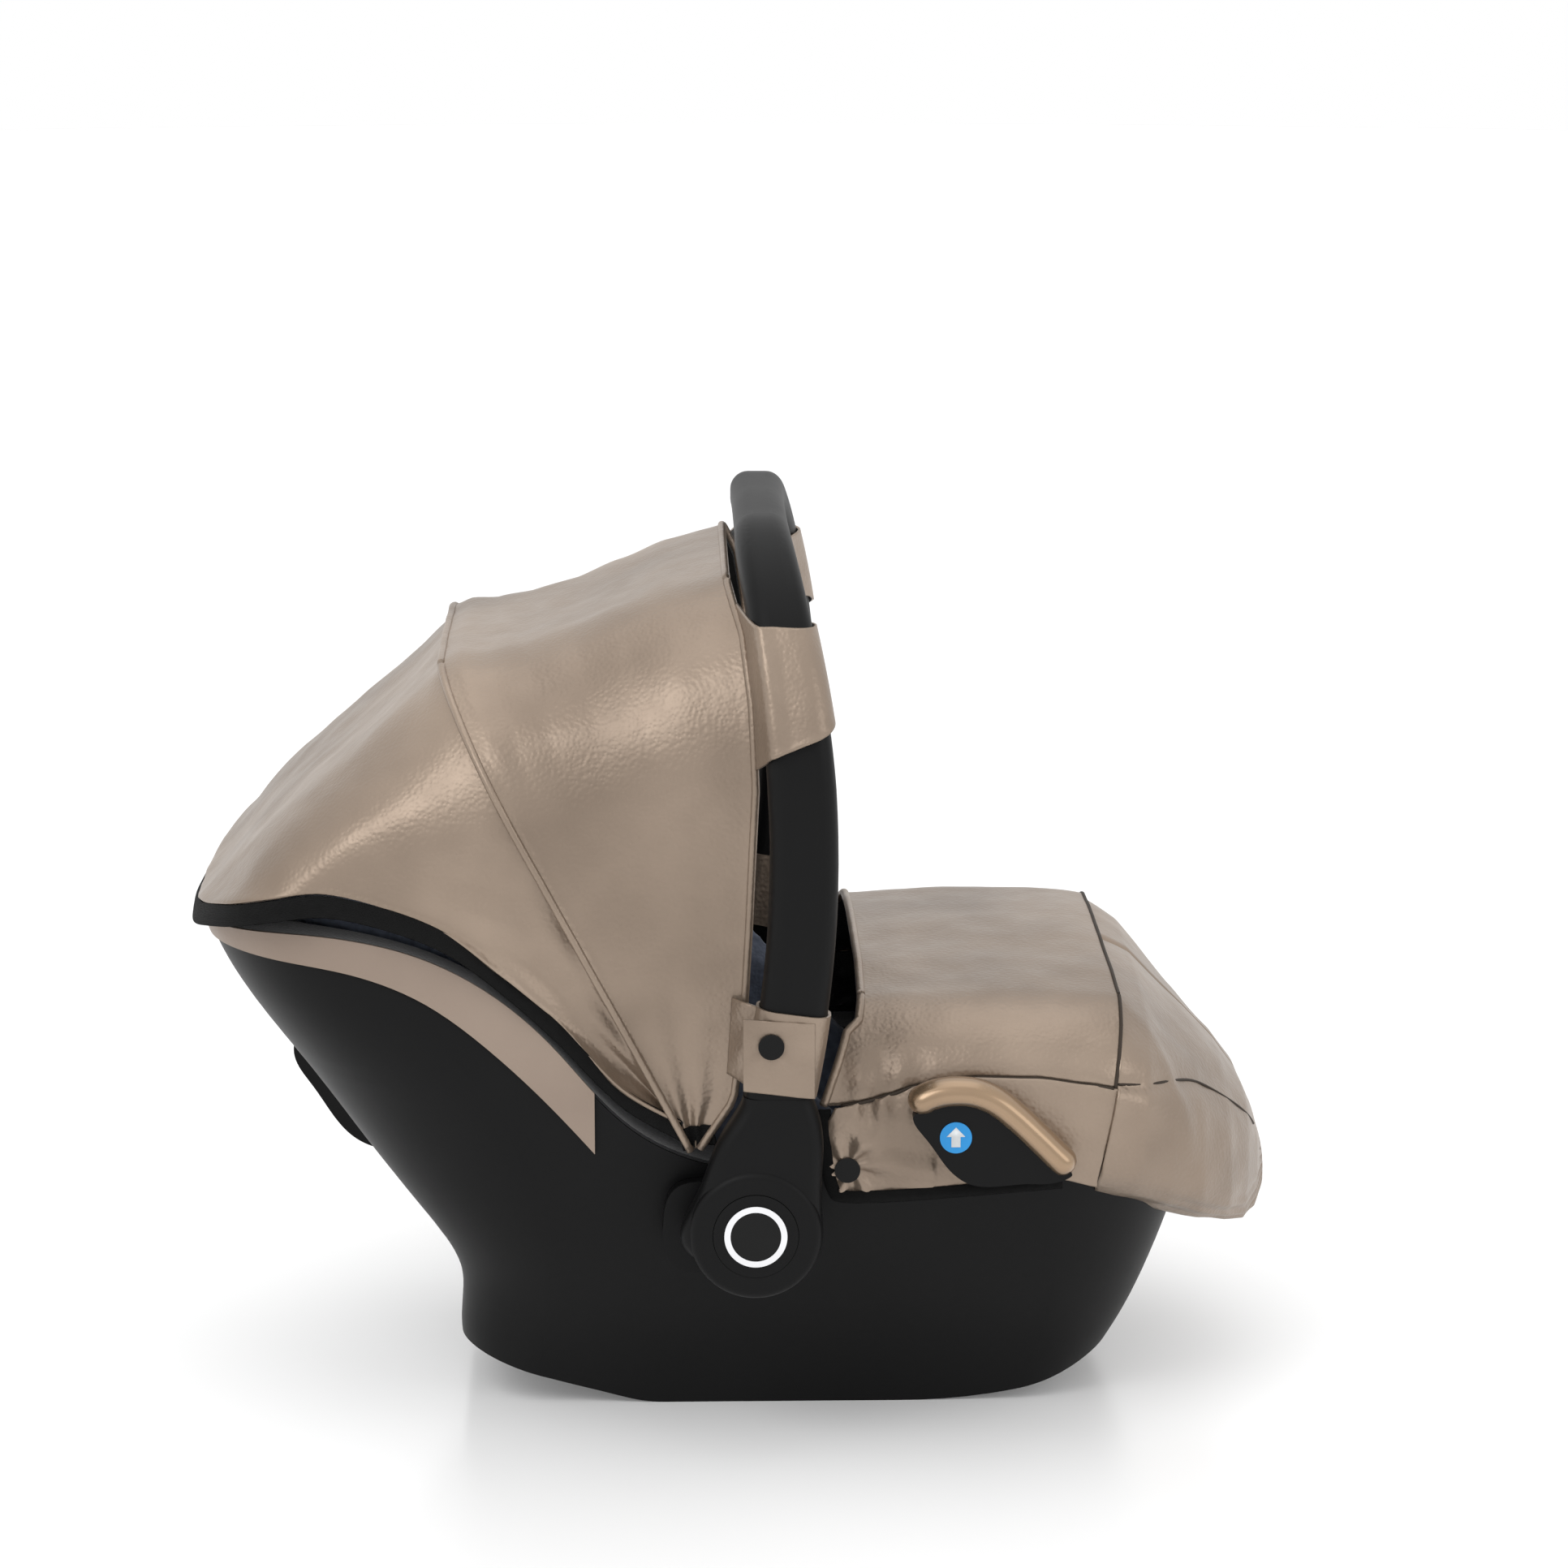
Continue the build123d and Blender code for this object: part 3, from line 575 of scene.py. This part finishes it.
def boot_toe_point(u, v):
    """Toe panel: u round the section from its top, v from the cross seam to the tip."""
    x0, half, bottom, top, power = toe_row(v)
    a = 2 * math.pi * u
    c, s = math.cos(a), math.sin(a)
    y = -half * math.copysign(abs(s) ** (2 / power), s)
    mid, rise = (top + bottom) / 2, (top - bottom) / 2
    z = mid + rise * math.copysign(abs(c) ** (2 / power), c)
    near_start = max(0.0, 1 - v / 0.45)
    x = x0 + (at_height(CROSS, z) - 214) * near_start ** 1.5
    out = Vector((0.3 + v, y / max(half, 20) * 0.9, (z - mid) / max(rise, 10) * 0.9)).normalized()
    start_gap = v * 110 if z > at_x(TOE_SEAM, x) - 2 else 90
    under = max(0.0, (bottom + 34 - z) / 34)
    gather = 2.2 * under * math.sin(u * 150 + 2 * math.sin(9 * v)) * min(1.0, v * 5)
    crease = 1.7 * hill(y + 20 + 90 * v, -110, 10) * hill(v, 0.35, 0.3) * (1 if z > mid else 0)
    p = Vector((x, y, z))
    fade = max(0.0, 1 - max(0.0, v - 0.55) / 0.25)
    pinch = -2.6 * hill(z, at_x(TOE_SEAM, x), 6) * min(1.0, abs(s) * 1.4) * fade
    folds = puff(start_gap) + gather + crease + pinch
    return p + out * (folds + crumple(p, 64, 2.2, 2) + crumple(p, 27, 0.7, 6) + 0.6)


def toe_seam_path(sign):
    """Points on the toe where its side seam runs."""
    points = []
    for step in range(34):
        v = 0.005 + 0.7 * step / 33
        best = min((0.13 + 0.30 * k / 70 for k in range(71)),
                   key=lambda u: abs(boot_toe_point(u, v).z - at_x(TOE_SEAM, boot_toe_point(u, v).x)))
        p = boot_toe_point(best, v)
        points.append(Vector((p.x, p.y if sign < 0 else -p.y, p.z)))
    for _ in range(6):
        inner = [(a + b + c) / 3 for a, b, c in zip(points[:-2], points[1:-1], points[2:])]
        points = [points[0], *inner, points[-1]]
    return points


boot_top, area_top = skin("boot_top_cloth", boot_top_point, 190, 60, 3.0, LINED, (0.13, 0, 0.15))
boot_toe, area_toe = skin("boot_toe_cloth", boot_toe_point, 200, 84, 2.6, LINED, (0.2, 0, 0.17))


def boot_skirt_at(sign):
    """Side flap under the top panel, drawn in by the stud."""
    stud_x, stud_z = COVER_STUD

    def place(u, v):
        z0 = lerp(146.0, 214.0, v)
        x = lerp(at_height(MOUTH, z0) + 3, at_height(CROSS, z0), u)
        z = lerp(at_x(HEM, x) + 3, at_x(SEAM, x), v)
        edge = min((1 - v) * 62, 60)
        away = math.hypot(x - stud_x, z - stud_z)
        star = math.sin(6.5 * math.atan2(z - stud_z, x - stud_x) + away / 14)
        fold = 2.2 * math.exp(-away / 34) * star * min(1.0, away / 12)
        arc = 2.6 * hill(math.hypot(x - 118, z - 224), 62, 7) * (1 if x < 116 else 0)
        tuck = 2.0 * hill(x, 78, 16) * hill(z, 205, 15) * math.sin(x / 2.6)
        bulge = 0.8 * math.sin(math.pi * v)
        folds = puff(edge, 2.4, 6) + fold + arc + tuck
        out = 184.9 + bulge + folds + crumple((x, 0, z), 30, 1.2, 8) + 1.6
        return Vector((x, sign * out, z))
    return place


def strip_at(sign, rows):
    """Bound edge that follows rows of (x, z), seven and a half millimetres wide."""
    line = [(x, 0, z) for x, z in rows]

    def place(u, v):
        p = along(line, u)
        q = along(line, min(1.0, u + 0.01)) - along(line, max(0.0, u - 0.01))
        across = Vector((-q.z, 0, q.x)).normalized()
        off = p + across * lerp(-1.0, 6.5, v)
        return Vector((off.x, sign * (187.2 + 1.2 * math.sin(math.pi * v)), off.z))
    return place


BIND = [(49.5, 199), (49.5, 180), (51.5, 163), (55, 150), (62, 144.5), (92, 144.5), (135, 147.5), (190, 152)]
skirts, boot_bindings = [], []
for side, sign in PAIR:
    skirts.append(
        skin(f"boot_skirt_cloth_{side}", boot_skirt_at(sign), 110, 46, 2.4, LINED, (0.13, 0, 0.17)))
    boot_bindings.append(
        skin(f"boot_binding_band_{side}", strip_at(sign, BIND), 90, 6, 2.0, [ELASTIC], (0.13, 0, 0.17)))


def side_seam_at(sign):
    """Path along the lower edge of the top panel on one side."""
    edge = 0.0 if sign < 0 else 1.0
    return lambda u: boot_top_point(edge, 0.06 + 0.93 * u) + Vector((0, sign * 0.6, -0.5))


# Dark cords along the cross, side and toe seams: painted shade in the seam grooves.
seam_shade_cords = [seam_tube("boot_cross_seam_shade", lambda u: boot_top_point(u, 0.995), 150, 1.1, SEAM_SHADE)]
seam_shade_cords += [seam_tube(f"boot_side_seam_shade_{side}", side_seam_at(sign), 60, 1.0, SEAM_SHADE) for side, sign in PAIR]
seam_shade_cords += [tube_mesh(f"toe_seam_{side}", toe_seam_path(sign), 0.9, 0.9, SEAM_SHADE, 8) for side, sign in PAIR]
mouth_hem = seam_tube("boot_mouth_hem", lambda u: boot_top_point(u, 0.0), 160, 2.6, HIDE)


# ------------------------------------------------------------------ straps round the handle
def web_at(sign):
    """Web of the lower strap, from the hood's edge out to the handle leg."""
    hood_top, hood_low = Vector((-1, -187.5, 266)), Vector((-4, -187, 221))
    leg_top, leg_low = Vector((13, -203, 264)), Vector((9, -203, 217))

    def place(u, v):
        p = hood_top.lerp(hood_low, v).lerp(leg_top.lerp(leg_low, v), u)
        sway = math.sin(math.pi * u) + 0.8 * math.sin(5 * u + 9 * v)
        return Vector((p.x, -sign * p.y + sign * sway, p.z))
    return place


straps = []
for side, sign in PAIR:
    straps.append(skin(f"strap_web_{side}", web_at(sign), 30, 24, 2.0, LINED, (0, 0, 0.3)))


COLLAR_LOW = [399, 409, 424, 434, 435, 435]
BEND_Y, BEND_Z = 78, 390
BEND_OUTER, BEND_MIDDLE, BEND_INNER = 140.6, 125, 109.5
STRAP_STUD = (21, 245)


def collar_at(sign):
    """Sleeve sewn to the hood's front edge and wrapped round the handle."""
    def place(u, v):
        low = along([(i, 0, z) for i, z in enumerate(COLLAR_LOW)], u).z
        z = lerp(485 - 7 * u, low, v)
        rise = max(0.0, z - BEND_Z)
        outer, middle, inner = (
            BEND_Y + math.sqrt(radius ** 2 - rise ** 2) for radius in (BEND_OUTER, BEND_MIDDLE, BEND_INNER))
        x = 40 - (z - 350) ** 2 / 1280
        half = 19.5 - 2.6 * min(1.0, rise / 90)
        reach = z - 166
        drop = min(1.0, max(0.0, (reach - 222) / 104))
        edge = 81 + 104 * math.sqrt(1 - drop ** 2) + 2
        path = [
            (at_height(FRONT_EDGE, z) + 0.5, edge),
            (x - half + 2, max(edge, outer) - 1.2), (x - 3, outer + 1.2), (x + half - 3, outer - 0.2),
            (x + half + 4.2, middle + 3), (x + half - 4, inner - 0.5),
        ]
        p = along([(a, b, 0) for a, b in path], u)
        hem = 0.9 * (hill(v, 0.0, 0.035) + hill(v, 1.0, 0.035))
        fold = 0.8 * math.sin(7 * u + 2.5 * v) * math.sin(math.pi * v) + hem
        return Vector((p.x, sign * (p.y + fold + crumple((p.x, 0, z), 18, 0.7, 3)), z))
    return place


for side, sign in PAIR:
    collar = skin(f"collar_cloth_{side}", collar_at(sign), 80, 40, 1.6, LINED, (0.03, sign * 0.18, 0.44))
    straps.append(collar)


def strap_front_at(sign):
    """Outer flap of the lower strap, with the stud pulling it in."""
    stud_x, stud_z = STRAP_STUD

    def place(u, v):
        x = lerp(5, 46, u)
        z = lerp(lerp(261, 258, u), lerp(219, 214, u), v)
        away = math.hypot(x - stud_x, z - stud_z)
        pull = -1.8 * math.exp(-away / 9)
        star = math.sin(5 * math.atan2(z - stud_z, x - stud_x))
        fold = 0.9 * math.exp(-away / 16) * star * min(1.0, away / 9)
        round_edge = 1.6 * max(0.0, (u - 0.75) / 0.25) ** 2
        out = 219.4 + pull + fold - round_edge + crumple((x, 0, z), 16, 0.5, 2)
        return Vector((x, sign * out, z))
    return place


for side, sign in PAIR:
    straps.append(skin(f"strap_flap_{side}", strap_front_at(sign), 44, 40, 1.4, [HIDE], (0.02, 0, 0.24)))


# ------------------------------------------------------------------ belt guides
TRIM = [
    (102, 202), (108, 208), (116, 211.5), (126, 213), (138, 212), (150, 207), (162, 197.5),
    (175, 185), (187, 173), (195, 166),
]
TRIM_Y, TRIM_STEPS = 199.5, 60
ARROW = [(-2.6, -5.5), (2.6, -5.5), (2.6, 0.6), (5.4, 0.6), (0, 6.2), (-5.4, 0.6), (-2.6, 0.6)]
ARROW_X, ARROW_Y, ARROW_Z = 127, 205.9, 187
trims, arrows = [], []
for side, sign in PAIR:
    bar = [(x, sign * TRIM_Y, z) for x, z in TRIM]
    path = [along(bar, i / (TRIM_STEPS - 1)) for i in range(TRIM_STEPS)]
    trims.append(tube_mesh(f"belt_trim_bar_{side}", path, 11.5, 8.4, BRONZE, 24, 0.08, True))
    ring = [(ARROW_X + a, sign * ARROW_Y, ARROW_Z + b) for a, b in ARROW]
    arrow = make_object(f"marker_arrow_{side}", ring, [tuple(range(7))], smooth=False)
    solid = arrow.modifiers.new("thick", "SOLIDIFY")
    solid.thickness = 0.0003
    arrow.data.materials.append(WHITE)
    bake(arrow)
    arrows.append(arrow)


# ------------------------------------------------------------------ padded pieces
SWELL_PRESSURE = 3.0
SWELL_FRAMES = 18
SWELL_LIMIT = 0.006


def plump(node, name, mat, voxel):
    """Copy of a CAD pad, remeshed and inflated by a short cloth simulation."""
    source = NODES[node]
    obj = bpy.data.objects.new(name, source.data.copy())
    bpy.context.collection.objects.link(obj)
    remesh = obj.modifiers.new("remesh", "REMESH")
    remesh.mode, remesh.voxel_size = "VOXEL", voxel
    bake(obj)
    rest = [v.co.copy() for v in obj.data.vertices]
    cloth = obj.modifiers.new("cloth", "CLOTH")
    cloth.settings.use_pressure = True
    cloth.settings.uniform_pressure_force = SWELL_PRESSURE
    cloth.settings.effector_weights.gravity = 0
    cloth.settings.quality = 4
    cloth.settings.tension_stiffness = 12
    cloth.settings.bending_stiffness = 0.4
    cloth.collision_settings.use_collision = False
    scene = bpy.context.scene
    scene.frame_start, scene.frame_end = 1, SWELL_FRAMES
    cloth.point_cache.frame_start, cloth.point_cache.frame_end = 1, SWELL_FRAMES
    for frame_number in range(1, SWELL_FRAMES + 1):
        scene.frame_set(frame_number)
    bake(obj)
    for vert, home in zip(obj.data.vertices, rest):
        move = vert.co - home
        if move.length > SWELL_LIMIT:
            vert.co = home + move * (SWELL_LIMIT / move.length)
    scene.frame_set(1)
    soften = obj.modifiers.new("soften", "SMOOTH")
    soften.iterations = 4
    finer = obj.modifiers.new("finer", "SUBSURF")
    finer.levels = finer.render_levels = 1
    bake(obj)
    obj.data.materials.clear()
    obj.data.materials.append(mat)
    return obj


pads = []
for node, mat, voxel in (("body_insert", CUSHION, 0.006), ("head_insert", CUSHION, 0.006),
                         ("shoulder_pads", PAD, 0.004), ("crotch_pad", PAD, 0.004)):
    pads.append((plump(node, f"{node}_soft", mat, voxel), node))


# ------------------------------------------------------------------ which piece stands for what
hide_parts("canopy_front")
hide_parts("canopy_rear")
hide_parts("canopy_elastic")
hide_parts("canopy_collar_right")
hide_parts("canopy_collar_left")
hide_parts("canopy_bow")
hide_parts("boot_top")
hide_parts("boot_toe")
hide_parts("boot_skirt")
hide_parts("boot_binding")
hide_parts("belt_guide_trim_right")
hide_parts("belt_guide_trim_left")
for obj, node in pads:
    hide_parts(node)

hood_pieces = [canopy_front, canopy_rear, front_hem, bow_roll, binding_in]
hood_pieces += [obj for obj, area in foot_bindings]
for obj in hood_pieces:
    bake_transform(obj)
for obj in (elastic, boot_top, boot_toe, mouth_hem, *trims, *arrows, *seam_shade_cords):
    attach(obj, "shell")
for obj, area in (*skirts, *boot_bindings):
    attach(obj, "shell")
for obj, area in straps:
    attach(obj, "handle")
for obj, node in pads:
    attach(obj, "shell")
    "grey_cushion" if "insert" in node else "pad_cloth"

for side, sign in PAIR:
    node = NODES[f"button_spring_{side}"]
    coil = bpy.data.objects.new(f"button_spring_coil_{side}", node.data.copy())
    bpy.context.collection.objects.link(coil)
    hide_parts(f"button_spring_{side}")
    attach(coil, "shell")
    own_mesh(coil)

# Piece, area of its flat cloth, material slot, cords sewn to it.
sheets = [
    (canopy_front, area_front, "leatherette", [front_hem, bow_roll]),
    (canopy_rear, area_rear, "leatherette", []),
    (elastic, area_elastic, "black_elastic", []),
    (binding_in, area_binding, "black_elastic", []),
    (boot_top, area_top, "leatherette", [mouth_hem]),
    (boot_toe, area_toe, "leatherette", []),
]
sheets += [(obj, area, "leatherette", []) for obj, area in skirts]
sheets += [(obj, area, "black_elastic", []) for obj, area in (*boot_bindings, *foot_bindings)]
sheets += [(obj, area, "leatherette", []) for obj, area in straps]
for obj, area, slot_name, extra in sheets:
    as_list(extra)


# ------------------------------------------------------------------ stage
FLOOR_RADIUS, FLOOR_SIDES = 9000, 96
FLOOR_GLOW = 0.12


def studio_floor():
    """Wide pale disc under the object."""
    floor_mat, floor_shader = new_material("studio_floor", (0.93, 0.93, 0.93), 0.22, coat=0.2)
    vary_color(floor_mat, floor_shader, (0.9, 0.9, 0.9), (0.95, 0.95, 0.95), 1.5)
    turns = [2 * math.pi * k / FLOOR_SIDES for k in range(FLOOR_SIDES)]
    ring = [(FLOOR_RADIUS * math.cos(a), FLOOR_RADIUS * math.sin(a), 0) for a in turns]
    floor = make_object("studio_floor", ring, [tuple(range(FLOOR_SIDES))])
    floor_shader.inputs["Emission Color"].default_value = (1, 1, 1, 1)
    floor_shader.inputs["Emission Strength"].default_value = FLOOR_GLOW
    floor.data.materials.append(floor_mat)


def area_light(name, place, aim, size, power):
    """Square light at place, turned to aim (metres)."""
    data = bpy.data.lights.new(name, "AREA")
    data.energy = power
    data.shape = "RECTANGLE"
    data.size, data.size_y = size, size
    lamp = bpy.data.objects.new(name, data)
    bpy.context.collection.objects.link(lamp)
    lamp.location = place
    lamp.rotation_euler = (Vector(aim) - Vector(place)).to_track_quat("-Z", "Y").to_euler()


studio_floor()
world = bpy.context.scene.world or bpy.data.worlds.new("World")
bpy.context.scene.world = world
world.use_nodes = True
world.node_tree.nodes["Background"].inputs["Color"].default_value = (1, 1, 1, 1)
world.node_tree.nodes["Background"].inputs["Strength"].default_value = 1.0
bpy.context.scene.view_settings.view_transform = "Standard"
area_light("key", (-1.3, -1.8, 2.3), (0, 0, 0.25), 1.5, 20)
area_light("fill", (2.2, -1.6, 1.4), (0, 0, 0.25), 1.3, 7)
area_light("top", (0, 0.3, 2.6), (0, 0, 0.2), 2.2, 10)

CAMERA_LENS, CAMERA_SENSOR = 119.0, 36.0
CAMERA_AZIMUTH, CAMERA_ELEVATION, CAMERA_DISTANCE = -1.4, 12.0, 3.133
CAMERA_TARGET = (0.0335, 0, 0.351)

camera_data = bpy.data.cameras.new("camera")
camera_data.lens = CAMERA_LENS
camera_data.sensor_width = CAMERA_SENSOR
camera = bpy.data.objects.new("camera", camera_data)
bpy.context.collection.objects.link(camera)
azimuth, elevation = math.radians(CAMERA_AZIMUTH), math.radians(CAMERA_ELEVATION)
level = math.cos(elevation)
back = Vector((math.sin(azimuth) * level, -math.cos(azimuth) * level, math.sin(elevation)))
camera.location = Vector(CAMERA_TARGET) + back * CAMERA_DISTANCE
camera.rotation_euler = (-back).to_track_quat("-Z", "Y").to_euler()
bpy.context.scene.camera = camera
